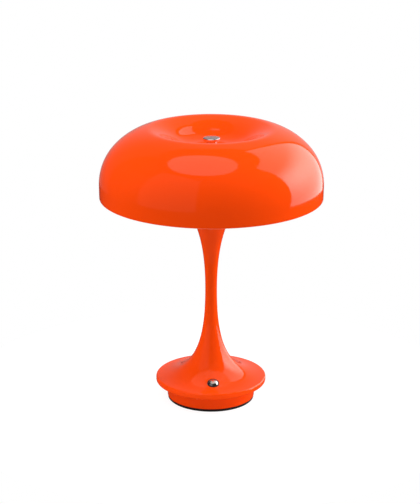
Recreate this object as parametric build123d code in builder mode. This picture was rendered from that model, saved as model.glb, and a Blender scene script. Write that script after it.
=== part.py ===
"""Rechargeable table lamp: a mushroom shade on a one-piece trumpet stand.

The origin is the centre of the foot pad's underside, +Z is up and the push button faces -Y.
Lengths are millimetres.
"""
from build123d import *
from math import atan, cos, degrees, hypot, radians, sin, sqrt, tan
import os

# Shade
shade_radius = 125.0
shade_wall = 1.2
rim_height = 239.3          # table to the lower rim
rim_inset = 0.2             # the rim stands this far inside the widest circle
widest_height = 255.0
crown_height = 317.0
crown_ring = 69.0           # radius of the circle along the top of the crown
crown_bend = 16.4           # bend radius of the crown itself
crown_slope = 14.5          # degrees the crown's bend turns each way from level
dimple_depth = 18.8
dimple_floor = 16.0         # radius of the flat floor that the finial clamps
hem_radius = 1.1            # rolled bead inside the rim, under the wall's thickness

# Stand: flange, trumpet stem and cup in one casting
flange_radius = 63.0
flange_thickness = 6.8
flange_round = 2.2
flange_pull = 39.0          # reach of the flange's slope towards the stem
flange_slope = 4.0          # degrees
stem_pull = 75.0            # reach of the stem's straight part towards the flange
waist_radius = 6.65
waist_height = 130.0
throat_pull = 53.0          # reach of the stem's straight part towards the cup
cup_radius = 34.0
cup_height = 236.0
cup_pull = 30.0             # reach of the cup's slope towards the stem
cup_slope = 53.0            # degrees
cup_round = 0.8
casting_wall = 3.0
cup_wall = 2.5

# Plinth
pad_thickness = 3.4
pad_radius = 49.3
pad_groove = 0.6
plinth_height = 20.0        # table to the underside of the flange
plinth_radius = 51.0
plinth_draft = 1.2          # the plinth is this much slimmer at its foot
pan_wall = 4.4
pan_floor = 2.0
lip_height = 2.0
lip_wall = 2.0
lip_depth = 4.5             # the lip's reach down inside the wall

# Fasteners
screw_ring = 40.0           # circle of the four base screws
screw_radius = 1.5
screw_length = 16.0
screw_head_radius = 2.75
screw_head = 2.2
small_screw_radius = 1.25
small_head_radius = 2.25
small_head = 1.5
boss_wall = 2.3
boss_split = 11.0           # table to where the pan's bosses meet the stand's

# Ballast, cells and boards
ballast_thickness = 4.0
cell_radius = 9.2
cell_length = 65.0
cell_gap = 1.0
tray_floor = 1.2
tray_wall = 2.4
lug_radius = 4.0
strip_thickness = 0.3
board_thickness = 1.6
charge_board_width = 44.0
charge_board_depth = 22.5
post_height = 5.0           # board posts above the pan's floor
port_width = 8.94
port_height = 3.26
port_depth = 7.4
port_wall = 0.3
port_recess = 1.5           # the port's pocket, measured into the plinth

# Push button
button_ring = 41.5          # radius of the circle on the flange that the button stands on
button_radius = 5.3
button_dome = 1.9
button_stand = 0.9          # edge of the dome above the flange
button_skirt = 3.5
button_travel = 1.2
shank_radius = 1.5
shank_length = 7.4
bezel_wall = 0.72
bezel_rim = 1.2
bezel_stand = 0.7
bezel_depth = 6.1
bezel_floor = 1.0
spot_face = 0.5
nut_thickness = 2.0
spring_wire = 0.4
spring_turns = 4
switch_body = 6.0
switch_height = 3.5
plunger_radius = 1.75
plunger_height = 0.78

# Head
post_radius = 5.0
post_bore = 2.8
stud_radius = 3.0
stud_height = 5.0           # stud above the washer
thread_height = 20.0        # screwed length of the post in the stand
bridge_height = 206.0       # table to the foot of that thread
sink_thickness = 3.0
fin_depth = 9.0
fin_count = 16
fin_gap = 2.0
nut_height = 5.0
nut_width = 16.0
led_count = 12
led_ring = 17.5
led_board_bore = 10.2
led_screw_ring = 13.5
led_size = 3.0
led_height = 0.8
diffuser_wall = 2.0
diffuser_rise = 20.0
diffuser_seat = 12.0
diffuser_edge = 1.5
diffuser_lip = 1.5
knurled_nut_radius = 9.0
carrier_thickness = 2.0
carrier_hub = 8.0
gasket_thickness = 0.8
washer_radius = 7.0
washer_thickness = 0.8
finial_radius = 9.5
finial_head = 2.9
finial_height = 7.8
finial_neck = 6.3
finial_bevel = 0.6

# Leads
stem_lead_radius = 1.3
lead_radius = 0.8

# Clearances
running = 0.06              # between parts that slide or turn on each other
fitting = 0.2               # between parts that are put together once
screwed = 0.02              # between a thread's crest and its hole, both drawn plain
room = 0.6                  # round bosses, boards and cells

# ---------------------------------------------------------------- levels
floor_top = pad_thickness + pan_floor
ballast_top = floor_top + ballast_thickness
board_bottom = floor_top + post_height
board_top = board_bottom + board_thickness
lip_top = plinth_height + lip_height
pan_bore = plinth_radius - pan_wall
lip_bore = pan_bore - lip_wall
cavity_radius = pan_bore + fitting
bore_radius = waist_radius - casting_wall
boss_radius = screw_radius + boss_wall
pan_boss_radius = boss_radius + 0.8
cell_level = ballast_top + tray_floor + fitting + cell_radius
cell_offset = cell_radius + cell_gap / 2
tray_half_length = cell_length / 2 + room + tray_wall
tray_half_width = cell_offset + cell_radius + tray_wall
lug_place = tray_half_length + lug_radius - 0.5

sink_bottom = bridge_height + thread_height
sink_top = sink_bottom + sink_thickness
led_board_top = sink_top + board_thickness
dimple_top = crown_height - dimple_depth
dimple_under = dimple_top - shade_wall
gasket_bottom = dimple_under - gasket_thickness
carrier_bottom = gasket_bottom - carrier_thickness
post_shoulder = carrier_bottom - 1.0
washer_top = dimple_top + washer_thickness
stud_top = washer_top + stud_height
diffuser_top = cup_height + diffuser_rise
window_bottom = sink_top + nut_height + 0.6
window_height = 5.6
lead_arch = window_bottom + window_height - stem_lead_radius - 1.1


# ---------------------------------------------------------------- outlines
def biarc(start, start_way, end, end_way):
    """Draw two arcs that leave start and reach end in the given directions."""
    start, end = Vector(*start), Vector(*end)
    start_way, end_way = Vector(*start_way).normalized(), Vector(*end_way).normalized()
    across = end - start
    ways = start_way + end_way
    turn = 2 * (1 - start_way.dot(end_way))
    reach = (sqrt(across.dot(ways) ** 2 + turn * across.dot(across)) - across.dot(ways)) / turn
    middle = (start + start_way * reach + end - end_way * reach) * 0.5
    first = TangentArc(start, middle, tangent=start_way)
    return TangentArc(middle, end, tangent=first % 1)


def shade_line():
    """Draw the shade's outer profile from the rim over the crown to the dimple's centre."""
    side = radians(crown_slope)
    level = crown_height - crown_bend * (1 - cos(side))
    outer = (crown_ring + crown_bend * sin(side), level)
    inner = (crown_ring - crown_bend * sin(side), level)
    widest = (shade_radius, widest_height)
    floor_edge = (dimple_floor, dimple_top)
    TangentArc(widest, (shade_radius - rim_inset, rim_height), tangent=(0, -1))
    biarc(widest, (0, 1), outer, (-cos(side), sin(side)))
    ThreePointArc(outer, (crown_ring, crown_height), inner)
    biarc(inner, (-cos(side), -sin(side)), floor_edge, (-1, 0))
    Line(floor_edge, (stud_radius + 2 * fitting, dimple_top))


def trumpet(wall):
    """Return the control points of the stand's lower and upper curves, moved in by a wall."""
    edge_top = plinth_height + flange_thickness
    slope, flare = radians(flange_slope), radians(cup_slope)
    lower = [
        (waist_radius, waist_height),
        (waist_radius, waist_height - stem_pull),
        (flange_radius - flange_pull, edge_top + flange_pull * tan(slope)),
        (flange_radius, edge_top),
    ]
    upper = [
        (waist_radius, waist_height),
        (waist_radius, waist_height + throat_pull),
        (cup_radius - cup_pull * cos(flare), cup_height - cup_pull * sin(flare)),
        (cup_radius, cup_height),
    ]
    return shifted(lower, wall), shifted(upper, wall)


def shifted(points, wall):
    """Move a curve's control polygon towards the stand's axis by a wall."""
    legs = []
    for (r1, z1), (r2, z2) in zip(points, points[1:]):
        length = hypot(r2 - r1, z2 - z1)
        side = -1 if z2 > z1 else 1
        move_r = side * (z2 - z1) / length * wall
        move_z = -side * (r2 - r1) / length * wall
        legs.append(((r1 + move_r, z1 + move_z), (r2 + move_r, z2 + move_z)))
    corners = [meeting(a, b) for a, b in zip(legs, legs[1:])]
    return [legs[0][0], *corners, legs[-1][1]]


def meeting(first, second):
    """Return the point where two straight legs meet."""
    (r1, z1), (r2, z2) = first
    (r3, z3), (r4, z4) = second
    cross = (r2 - r1) * (z4 - z3) - (z2 - z1) * (r4 - r3)
    share = ((r3 - r1) * (z4 - z3) - (z3 - z1) * (r4 - r3)) / cross
    return (r1 + share * (r2 - r1), z1 + share * (z2 - z1))


def under_curve(wall):
    """Outline the space under the stand's lower curve, moved in by a wall."""
    lower, _ = trumpet(wall)
    Bezier(*lower)
    Line(lower[3], (lower[3][0], 0))
    Line((lower[3][0], 0), (0, 0))
    Line((0, 0), (0, waist_height))
    Line((0, waist_height), lower[0])


def crossing(points, place, along):
    """Return a curve's point and direction where it passes a place along X or Y."""
    curve = Bezier(*points, mode=Mode.PRIVATE)
    low, high = 0.0, 1.0
    for _ in range(40):
        middle = (low + high) / 2
        here = curve @ middle
        if (here.X if along == "X" else here.Y) < place:
            low = middle
        else:
            high = middle
    return curve @ middle, curve % middle


def cup_bore(height):
    """Return the radius inside the cup at a height."""
    return crossing(trumpet(cup_wall)[1], height, "Y")[0].X


def tube(path, radius):
    """Return a round lead swept along a path."""
    with BuildPart() as lead:
        with BuildSketch(Plane(origin=path @ 0, z_dir=path % 0)):
            Circle(radius)
        sweep(path=path)
    return lead


def screw_set(plane, places, length, radius, head_radius, head):
    """Return pan-head screws that point along a plane's normal, seated on the plane."""
    with BuildPart() as screws:
        with BuildSketch(plane):
            with Locations(*places):
                Circle(radius)
        extrude(amount=length)
        with BuildSketch(plane):
            with Locations(*places):
                Circle(head_radius)
        extrude(amount=-head)
        rims = screws.edges().filter_by(GeomType.CIRCLE).group_by(Axis(plane.origin, plane.z_dir))
        fillet(rims[0], head * 0.4)
        with BuildSketch(plane.offset(-head)):
            with Locations(*places):
                RegularPolygon(radius * 0.8, 6)
        extrude(amount=head * 0.6, mode=Mode.SUBTRACT)
    return screws


def facing_down(level):
    """Return a level plane whose normal points down."""
    return Plane(origin=(0, 0, level), x_dir=(-1, 0, 0), z_dir=(0, 0, -1))


corner = screw_ring * cos(radians(45))
screw_places = [(corner, corner), (-corner, corner), (-corner, -corner), (corner, -corner)]
lug_places = [(lug_place, 0), (-lug_place, 0)]
board_middle = tray_half_width + room + charge_board_depth / 2
post_places = [(x, board_middle + y) for x, y in ((17, -6.5), (-17, -6.5), (15, 5.5), (-15, 5.5))]

# ---------------------------------------------------------------- shade
with BuildPart() as shade:
    with BuildSketch(Plane.XZ) as shade_section:
        with BuildLine() as shade_profile:
            shade_line()
            offset(amount=shade_wall, side=Side.RIGHT, closed=True)
        make_face()
    revolve(axis=Axis.Z)
    with BuildSketch(Plane.XZ):
        with Locations((shade_radius - rim_inset - shade_wall, rim_height + shade_wall + 0.2)):
            Circle(hem_radius)
    revolve(axis=Axis.Z)

# ---------------------------------------------------------------- stand
with BuildPart() as stand_form:
    with BuildSketch(Plane.XZ) as stand_section:
        with BuildLine():
            lower, upper = trumpet(0)
            Line((0, plinth_height), (flange_radius, plinth_height))
            Line((flange_radius, plinth_height), lower[3])
            Bezier(*lower)
            Bezier(*upper)
            Line(upper[3], (0, cup_height))
            Line((0, cup_height), (0, plinth_height))
        make_face()
        rim_corners = stand_section.vertices().group_by(Axis.X)[-1]
        fillet(rim_corners, flange_round)
        cup_corner = stand_section.vertices().group_by(Axis.Y)[-1].sort_by(Axis.X)[-1]
        fillet(cup_corner, cup_round)
    revolve(axis=Axis.Z)

button_foot, button_fall_way = crossing(trumpet(0)[0], button_ring, "X")
button_height = button_foot.Y
button_fall = atan(-button_fall_way.Y / button_fall_way.X)
button_axis = (0, -sin(button_fall), cos(button_fall))
button_plane = Plane(origin=(0, -button_ring, button_height), x_dir=(1, 0, 0), z_dir=button_axis)
bezel_bore = button_radius + running
bezel_sleeve = bezel_bore + bezel_wall
bezel_flange = bezel_bore + bezel_rim
bezel_nut_radius = bezel_sleeve + 2.4
switch_top = shank_length + button_travel + screwed + plunger_height
switch_board_level = switch_top + switch_height
switch_boss_place = bezel_nut_radius + 3.1
switch_boss_radius = small_screw_radius + 1.3
switch_post_places = [(switch_boss_place, 0), (-switch_boss_place, 0)]
nut_seat = casting_wall + 0.4

with BuildPart() as stand_bosses:
    with BuildSketch(Plane.XY.offset(boss_split)):
        with Locations(*screw_places):
            Circle(boss_radius)
    extrude(amount=crown_height - boss_split)
    for angle in (45, 135, 225, 315):
        spoke = Plane.XY.offset(lip_top + room).rotated((0, 0, angle))
        with BuildSketch(spoke):
            with Locations((screw_ring + flange_radius / 8, 0)):
                Rectangle(flange_radius / 4, boss_wall)
        extrude(amount=plinth_height)
    with BuildSketch(button_plane.offset(-nut_seat)):
        Circle(bezel_nut_radius + room)
    extrude(amount=nut_seat)
    with BuildSketch(button_plane.offset(-switch_board_level)):
        with Locations(*switch_post_places):
            Circle(switch_boss_radius)
    extrude(amount=switch_board_level)
    with BuildSketch(Plane.XZ):
        with BuildLine():
            under_curve(casting_wall / 2)
        make_face()
    revolve(axis=Axis.Z, mode=Mode.INTERSECT)

with BuildPart() as stand:
    add(stand_form.part)
    with BuildSketch(Plane.XZ):
        with BuildLine():
            under_curve(casting_wall)
        make_face()
        with Locations((0, 0)):
            Rectangle(2 * cavity_radius, 2 * waist_height, mode=Mode.INTERSECT)
    revolve(axis=Axis.Z, mode=Mode.SUBTRACT)
    with BuildSketch(Plane.XZ):
        with BuildLine():
            _, upper = trumpet(cup_wall)
            Bezier(*upper)
            Line(upper[3], (upper[3][0], crown_height))
            Line((upper[3][0], crown_height), (0, crown_height))
            Line((0, crown_height), (0, waist_height))
            Line((0, waist_height), upper[0])
        make_face()
        with Locations((0, bridge_height + crown_height)):
            Rectangle(4 * cup_radius, 2 * crown_height, mode=Mode.INTERSECT)
        with Locations((0, sink_bottom / 2)):
            Rectangle(2 * (post_radius + casting_wall + 0.5), sink_bottom, mode=Mode.SUBTRACT)
    revolve(axis=Axis.Z, mode=Mode.SUBTRACT)
    add(stand_bosses.part)
    with Locations((0, 0, cup_height)):
        Hole(bore_radius, depth=cup_height)
    with BuildSketch(Plane.XY.offset(bridge_height)):
        Circle(post_radius + screwed)
    extrude(amount=thread_height, mode=Mode.SUBTRACT)
    with BuildSketch(Plane.XY.offset(boss_split)):
        with Locations(*screw_places):
            Circle(screw_radius + screwed)
    extrude(amount=screw_length - pan_floor, mode=Mode.SUBTRACT)
    with BuildSketch(button_plane.offset(-spot_face)):
        Circle(bezel_flange + fitting / 2)
    extrude(amount=plinth_height, mode=Mode.SUBTRACT)
    with BuildSketch(button_plane.offset(-nut_seat - nut_thickness)):
        Circle(bezel_sleeve + fitting / 2)
    extrude(amount=plinth_height, mode=Mode.SUBTRACT)
    with BuildSketch(button_plane.offset(-nut_seat)):
        Circle(bezel_nut_radius + fitting)
    extrude(amount=-nut_thickness - room, mode=Mode.SUBTRACT)
    with BuildSketch(button_plane.offset(-switch_board_level)):
        with Locations(*switch_post_places):
            Circle(small_screw_radius + screwed)
    extrude(amount=switch_height + plunger_height, mode=Mode.SUBTRACT)

# ---------------------------------------------------------------- plinth
with BuildPart() as foot_pad:
    with BuildSketch():
        Circle(pad_radius)
    extrude(amount=pad_thickness)
    chamfer(foot_pad.edges().group_by(Axis.Z)[0], pad_groove)
    with BuildSketch():
        for share in (0.35, 0.6, 0.85):
            Circle(pad_radius * share + 1)
            Circle(pad_radius * share, mode=Mode.SUBTRACT)
    extrude(amount=pad_groove, mode=Mode.SUBTRACT)

port_level = board_top + port_height / 2
port_mouth = sqrt(plinth_radius ** 2 - (port_width / 2) ** 2) - port_recess

with BuildPart() as base_pan:
    with BuildSketch(Plane.XZ):
        with BuildLine():
            Polyline(
                (0, pad_thickness), (plinth_radius - plinth_draft, pad_thickness),
                (plinth_radius, plinth_height), (pan_bore, plinth_height), (pan_bore, lip_top),
                (lip_bore, lip_top), (lip_bore, plinth_height - lip_depth + lip_wall),
                (pan_bore, plinth_height - lip_depth), (pan_bore, floor_top), (0, floor_top),
                close=True)
        make_face()
    revolve(axis=Axis.Z)
    with BuildSketch(Plane.XY.offset(pad_thickness)):
        with Locations(*screw_places):
            Circle(pan_boss_radius)
    extrude(amount=boss_split - pad_thickness)
    with BuildSketch(Plane.XY.offset(floor_top)):
        with Locations(*lug_places):
            Circle(small_screw_radius + boss_wall - 0.5)
    extrude(amount=ballast_thickness)
    with BuildSketch(Plane.XY.offset(floor_top)):
        with Locations(*post_places):
            Circle(small_screw_radius + boss_wall - 0.5)
    extrude(amount=post_height)
    with Locations(*[Plane(origin=(x, y, pad_thickness), z_dir=(0, 0, -1)) for x, y in screw_places]):
        CounterBoreHole(
            screw_radius + fitting, screw_head_radius + fitting,
            screw_head + 2 * fitting, depth=2 * boss_split)
    with BuildSketch(Plane.XY.offset(floor_top)):
        with Locations(*lug_places):
            Circle(small_screw_radius + screwed)
    extrude(amount=ballast_thickness, mode=Mode.SUBTRACT)
    with BuildSketch(Plane.XY.offset(floor_top)):
        with Locations(*post_places):
            Circle(small_screw_radius + screwed)
    extrude(amount=post_height, mode=Mode.SUBTRACT)
    with BuildSketch(Plane.XZ.offset(-port_mouth)):
        with Locations((0, port_level)):
            SlotOverall(port_width + 4, port_height + 4)
    extrude(amount=-plinth_radius, mode=Mode.SUBTRACT)
    with BuildSketch(Plane.XZ.offset(-port_mouth)):
        with Locations((0, port_level)):
            SlotOverall(port_width + 2 * fitting, port_height + 2 * fitting)
    extrude(amount=port_depth, mode=Mode.SUBTRACT)

base_screws = screw_set(
    Plane.XY.offset(pad_thickness + screw_head + 2 * fitting), screw_places, screw_length,
    screw_radius, screw_head_radius, screw_head)

with BuildPart() as ballast:
    with BuildSketch(Plane.XY.offset(floor_top)):
        Circle(pan_bore - room)
        with Locations(*screw_places):
            Circle(pan_boss_radius + room, mode=Mode.SUBTRACT)
        with Locations(*lug_places, *post_places):
            Circle(small_screw_radius + boss_wall - 0.5 + room, mode=Mode.SUBTRACT)
    extrude(amount=ballast_thickness)
    chamfer(ballast.edges().filter_by(GeomType.CIRCLE).sort_by(SortBy.RADIUS)[-1], fitting * 2)

# ---------------------------------------------------------------- cells
with BuildPart() as battery_tray:
    with BuildSketch(Plane.XY.offset(ballast_top)):
        RectangleRounded(2 * tray_half_length, 2 * tray_half_width, tray_wall)
    extrude(amount=cell_level - ballast_top)
    with BuildSketch(Plane.YZ.offset(-tray_half_length + tray_wall)):
        with Locations((cell_offset, cell_level), (-cell_offset, cell_level)):
            Circle(cell_radius + fitting)
    extrude(amount=2 * (tray_half_length - tray_wall), mode=Mode.SUBTRACT)
    with BuildSketch(Plane.XY.offset(ballast_top)):
        with Locations(*lug_places):
            Circle(lug_radius)
        Rectangle(2 * lug_place, 2 * lug_radius)
        Rectangle(2 * tray_half_length - tray_wall, 4 * lug_radius, mode=Mode.SUBTRACT)
    extrude(amount=tray_wall)
    with BuildSketch(Plane.XY.offset(ballast_top)):
        with Locations(*lug_places):
            Circle(small_screw_radius + fitting)
    extrude(amount=tray_wall, mode=Mode.SUBTRACT)

tray_screws = screw_set(
    facing_down(ballast_top + tray_wall), lug_places, ballast_thickness + tray_wall - fitting,
    small_screw_radius, small_head_radius, small_head)

with BuildPart() as battery_cells:
    with BuildSketch(Plane.YZ.offset(-cell_length / 2)):
        with Locations((cell_offset, cell_level), (-cell_offset, cell_level)):
            Circle(cell_radius)
    extrude(amount=cell_length)
    fillet(battery_cells.edges().filter_by(GeomType.CIRCLE), 0.6)

with BuildPart() as battery_contacts:
    with BuildSketch(Plane.YZ.offset(cell_length / 2)):
        with Locations((0, cell_level + cell_radius / 3)):
            RectangleRounded(2 * cell_offset + cell_radius, cell_radius / 2, 1)
    extrude(amount=strip_thickness)
    with BuildSketch(Plane.YZ.offset(-cell_length / 2)):
        with Locations((cell_offset, cell_level + cell_radius / 3),
                       (-cell_offset, cell_level + cell_radius / 3)):
            RectangleRounded(cell_radius, cell_radius / 2, 1)
    extrude(amount=-strip_thickness)

# ---------------------------------------------------------------- charge board and port
with BuildPart() as charge_board:
    with BuildSketch(Plane.XY.offset(board_bottom)):
        with Locations((0, board_middle)):
            RectangleRounded(charge_board_width, charge_board_depth, 1)
        Circle(lip_bore - fitting, mode=Mode.INTERSECT)
        with Locations(*post_places):
            Circle(small_screw_radius + fitting, mode=Mode.SUBTRACT)
    extrude(amount=board_thickness)

header_width = 5.0
header_height = 4.5
header_line = board_middle - 7.5
header_places = [(-9, header_line), (0, header_line), (9, header_line)]
header_top = board_top + header_height

with BuildPart() as board_parts:
    with BuildSketch(Plane.XY.offset(board_top)):
        with Locations(*header_places):
            Rectangle(header_width, header_height)
    extrude(amount=header_height)
    with BuildSketch(Plane.XY.offset(board_top)):
        with Locations((6.5, board_middle + 0.5)):
            RectangleRounded(6.6, 6.6, 1.2)
    extrude(amount=3.8)
    with BuildSketch(Plane.XY.offset(board_top)):
        with Locations((-5, board_middle - 0.5)):
            Rectangle(5, 5)
    extrude(amount=0.9)
    with BuildSketch(Plane.XY.offset(board_top)):
        with Locations((0, board_middle + 5)):
            Rectangle(6, 4)
    extrude(amount=1.6)
    with BuildSketch(Plane.XY.offset(board_top)):
        with Locations((-12, board_middle - 0.5)):
            Circle(2.5)
    extrude(amount=7)

board_screws = screw_set(
    facing_down(board_top), [(-x, y) for x, y in post_places], post_height,
    small_screw_radius, small_head_radius, small_head)

with BuildPart() as charge_port:
    with BuildSketch(Plane.XZ.offset(-port_mouth)):
        with Locations((0, port_level)):
            SlotOverall(port_width, port_height)
    extrude(amount=port_depth)
    with BuildSketch(Plane.XZ.offset(-port_mouth)):
        with Locations((0, port_level)):
            SlotOverall(port_width - 2 * port_wall, port_height - 2 * port_wall)
    extrude(amount=port_depth - port_wall, mode=Mode.SUBTRACT)

with BuildPart() as port_tongue:
    with BuildSketch(Plane.XZ.offset(-port_mouth + port_depth - port_wall)):
        with Locations((0, port_level)):
            SlotOverall(port_width - 2 * port_wall - screwed, port_height - 2 * port_wall - screwed)
    extrude(amount=-port_depth / 5)
    with BuildSketch(Plane.XZ.offset(-port_mouth + port_depth - port_wall)):
        with Locations((0, port_level)):
            RectangleRounded(port_width * 0.75, port_height * 0.21, 0.2)
    extrude(amount=-port_depth * 0.82)

# ---------------------------------------------------------------- push button
button_line = Axis(button_plane.origin, button_plane.z_dir)
button_section = Plane(
    origin=button_plane.origin, x_dir=(1, 0, 0), z_dir=(0, -cos(button_fall), -sin(button_fall)))
pocket_radius = bezel_bore - 1.8
pocket_roof = button_stand - 1.1
floor_level = bezel_floor - bezel_depth
spring_radius = (pocket_radius + shank_radius) / 2 + fitting
shank_hole = shank_radius + running

with BuildPart() as button:
    with BuildSketch(button_section):
        with BuildLine():
            dome_edge = (button_radius, button_stand)
            dome_top = (0, button_stand + button_dome)
            TangentArc(dome_top, dome_edge, tangent=(1, 0))
            Polyline(
                dome_edge, (button_radius, button_stand - button_skirt),
                (pocket_radius, button_stand - button_skirt), (pocket_radius, pocket_roof),
                (shank_radius, pocket_roof), (shank_radius, -shank_length),
                (0, -shank_length), dome_top)
        make_face()
    revolve(axis=button_line)

with BuildPart() as button_bezel:
    with BuildSketch(button_section) as bezel_section:
        Polygon(
            (bezel_bore, floor_level), (bezel_bore, bezel_stand), (bezel_flange, bezel_stand),
            (bezel_flange, -spot_face), (bezel_sleeve, -spot_face), (bezel_sleeve, -bezel_depth),
            (shank_hole, -bezel_depth), (shank_hole, floor_level), align=None)
        fillet(bezel_section.vertices().group_by(Axis.Y)[-1], 0.3)
    revolve(axis=button_line)

with BuildPart() as bezel_nut:
    with BuildSketch(button_plane.offset(-nut_seat)):
        RegularPolygon(bezel_nut_radius, 6)
        Circle(bezel_sleeve + screwed, mode=Mode.SUBTRACT)
    extrude(amount=-nut_thickness)

with BuildPart() as button_clip:
    with BuildSketch(button_plane.offset(-bezel_depth)):
        Circle(2 * shank_radius)
        Circle(shank_radius + screwed, mode=Mode.SUBTRACT)
    extrude(amount=-spring_wire)

spring_height = pocket_roof - floor_level - 2 * spring_wire
with BuildPart() as button_spring:
    with BuildLine() as coil:
        Helix(
            spring_height / spring_turns, spring_height, spring_radius,
            center=button_plane.offset(floor_level + spring_wire).origin,
            direction=button_plane.z_dir)
    with BuildSketch(Plane(origin=coil.line @ 0, z_dir=coil.line % 0)):
        Circle(spring_wire / 2)
    sweep(is_frenet=True)

with BuildPart() as switch_board:
    with BuildSketch(button_plane.offset(-switch_board_level)):
        with Locations((0, switch_body / 3)):
            RectangleRounded(2 * (switch_boss_place + switch_boss_radius), 2 * switch_body, 1)
        with Locations(*switch_post_places):
            Circle(small_screw_radius + fitting, mode=Mode.SUBTRACT)
    extrude(amount=-board_thickness)

with BuildPart() as tact_switch:
    with BuildSketch(button_plane.offset(-switch_board_level)):
        RectangleRounded(switch_body, switch_body, 0.5)
    extrude(amount=switch_height)
    with BuildSketch(button_plane.offset(-switch_top)):
        Circle(plunger_radius)
    extrude(amount=plunger_height)

switch_screws = screw_set(
    button_plane.offset(-switch_board_level - board_thickness), switch_post_places,
    board_thickness + switch_height, small_screw_radius, small_head_radius, small_head)

# ---------------------------------------------------------------- lamp head
with BuildPart() as shade_post:
    with BuildSketch(Plane.XZ):
        Polygon(
            (0, bridge_height), (post_radius, bridge_height), (post_radius, post_shoulder),
            (stud_radius, post_shoulder), (stud_radius, stud_top), (0, stud_top), align=None)
    revolve(axis=Axis.Z)
    with BuildSketch(Plane.XY.offset(bridge_height)):
        Circle(post_bore)
    extrude(amount=window_bottom + window_height - bridge_height, mode=Mode.SUBTRACT)
    with BuildSketch(Plane.XY.offset(window_bottom)):
        with Locations((0, post_radius)):
            Rectangle(2 * (stem_lead_radius + fitting * 2), 2 * post_radius)
    extrude(amount=window_height, mode=Mode.SUBTRACT)
    chamfer(shade_post.edges().group_by(Axis.Z)[-1], 0.4)

with BuildPart() as heat_sink:
    with BuildSketch(Plane.XZ):
        with BuildLine():
            _, upper = trumpet(cup_wall + room)
            Bezier(*upper)
            Line(upper[3], (0, upper[3][1]))
            Line((0, upper[3][1]), (0, waist_height))
            Line((0, waist_height), upper[0])
        make_face()
        with Locations((0, (sink_top + sink_bottom - fin_depth) / 2)):
            Rectangle(2 * cup_radius, sink_top - sink_bottom + fin_depth, mode=Mode.INTERSECT)
        with Locations((0, sink_bottom - fin_depth / 2)):
            Rectangle(2 * (post_radius + casting_wall + 0.5 + room), fin_depth, mode=Mode.SUBTRACT)
        Rectangle(2 * (post_radius + fitting), 2 * crown_height, mode=Mode.SUBTRACT)
    revolve(axis=Axis.Z)
    with BuildSketch(Plane.XY.offset(sink_bottom - fin_depth)):
        with PolarLocations(cup_radius, fin_count):
            Rectangle(2 * (cup_radius - post_radius - casting_wall - 0.5), fin_gap)
    extrude(amount=fin_depth, mode=Mode.SUBTRACT)
    with BuildSketch(Plane.XY.offset(sink_top)):
        with PolarLocations(led_screw_ring, 3, start_angle=30):
            Circle(small_screw_radius + screwed)
    extrude(amount=-sink_thickness, mode=Mode.SUBTRACT)

led_board_radius = cup_bore(sink_top) - 2 * room
with BuildPart() as led_board:
    with BuildSketch(Plane.XY.offset(sink_top)):
        Circle(led_board_radius)
        Circle(led_board_bore, mode=Mode.SUBTRACT)
        with PolarLocations(led_screw_ring, 3, start_angle=30):
            Circle(small_screw_radius + fitting, mode=Mode.SUBTRACT)
    extrude(amount=board_thickness)

with BuildPart() as leds:
    with BuildSketch(Plane.XY.offset(led_board_top)):
        with PolarLocations(led_ring, led_count, start_angle=180 / led_count):
            Rectangle(led_size, led_size)
    extrude(amount=led_height)

led_screw_places = [
    (led_screw_ring * cos(radians(angle)), led_screw_ring * sin(radians(angle)))
    for angle in (30, 150, 270)]
led_screws = screw_set(
    facing_down(led_board_top), [(-x, y) for x, y in led_screw_places],
    board_thickness + sink_thickness - fitting, small_screw_radius, small_head_radius, small_head)

with BuildPart() as post_nut:
    with BuildSketch(Plane.XY.offset(sink_top)):
        RegularPolygon(nut_width / 2, 6, major_radius=False)
        Circle(post_radius + screwed, mode=Mode.SUBTRACT)
    extrude(amount=nut_height)

lip_radius = cup_bore(cup_height - diffuser_lip) - fitting
edge_radius = cup_radius - cup_round
with BuildPart() as diffuser:
    with BuildSketch(Plane.XZ):
        with BuildLine():
            bore = post_radius + fitting
            outer_foot = (edge_radius - diffuser_edge, cup_height + diffuser_edge)
            inner_foot = (lip_radius - diffuser_wall, cup_height)
            inner_top = (diffuser_seat, diffuser_top - diffuser_wall)
            TangentArc((diffuser_seat, diffuser_top), outer_foot, tangent=(1, 0))
            Polyline(
                outer_foot, (edge_radius, cup_height + diffuser_edge), (edge_radius, cup_height),
                (lip_radius, cup_height), (lip_radius, cup_height - diffuser_lip),
                (lip_radius - diffuser_wall, cup_height - diffuser_lip), inner_foot)
            TangentArc(inner_top, inner_foot, tangent=(1, 0))
            Polyline(
                inner_top, (bore, diffuser_top - diffuser_wall), (bore, diffuser_top),
                (diffuser_seat, diffuser_top))
        make_face()
    revolve(axis=Axis.Z)

with BuildPart() as diffuser_nut:
    with BuildSketch(Plane.XY.offset(diffuser_top)):
        Circle(knurled_nut_radius)
        with PolarLocations(knurled_nut_radius, 24):
            Circle(0.6, mode=Mode.SUBTRACT)
        Circle(post_radius + screwed, mode=Mode.SUBTRACT)
    extrude(amount=nut_height)

with BuildPart() as shade_carrier:
    with BuildSketch(Plane.XZ):
        Polygon(
            (post_radius + screwed, carrier_bottom - carrier_hub),
            (carrier_hub, carrier_bottom - carrier_hub), (carrier_hub, carrier_bottom),
            (dimple_floor - fitting, carrier_bottom), (dimple_floor - fitting, gasket_bottom),
            (stud_radius + screwed, gasket_bottom), (stud_radius + screwed, post_shoulder),
            (post_radius + screwed, post_shoulder), align=None)
    revolve(axis=Axis.Z)

with BuildPart() as shade_gasket:
    with BuildSketch(Plane.XY.offset(gasket_bottom)):
        Circle(dimple_floor - room)
        Circle(stud_radius + 1, mode=Mode.SUBTRACT)
    extrude(amount=gasket_thickness)

with BuildPart() as finial_washer:
    with BuildSketch(Plane.XY.offset(dimple_top)):
        Circle(washer_radius)
        Circle(stud_radius + running, mode=Mode.SUBTRACT)
    extrude(amount=washer_thickness)

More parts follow.
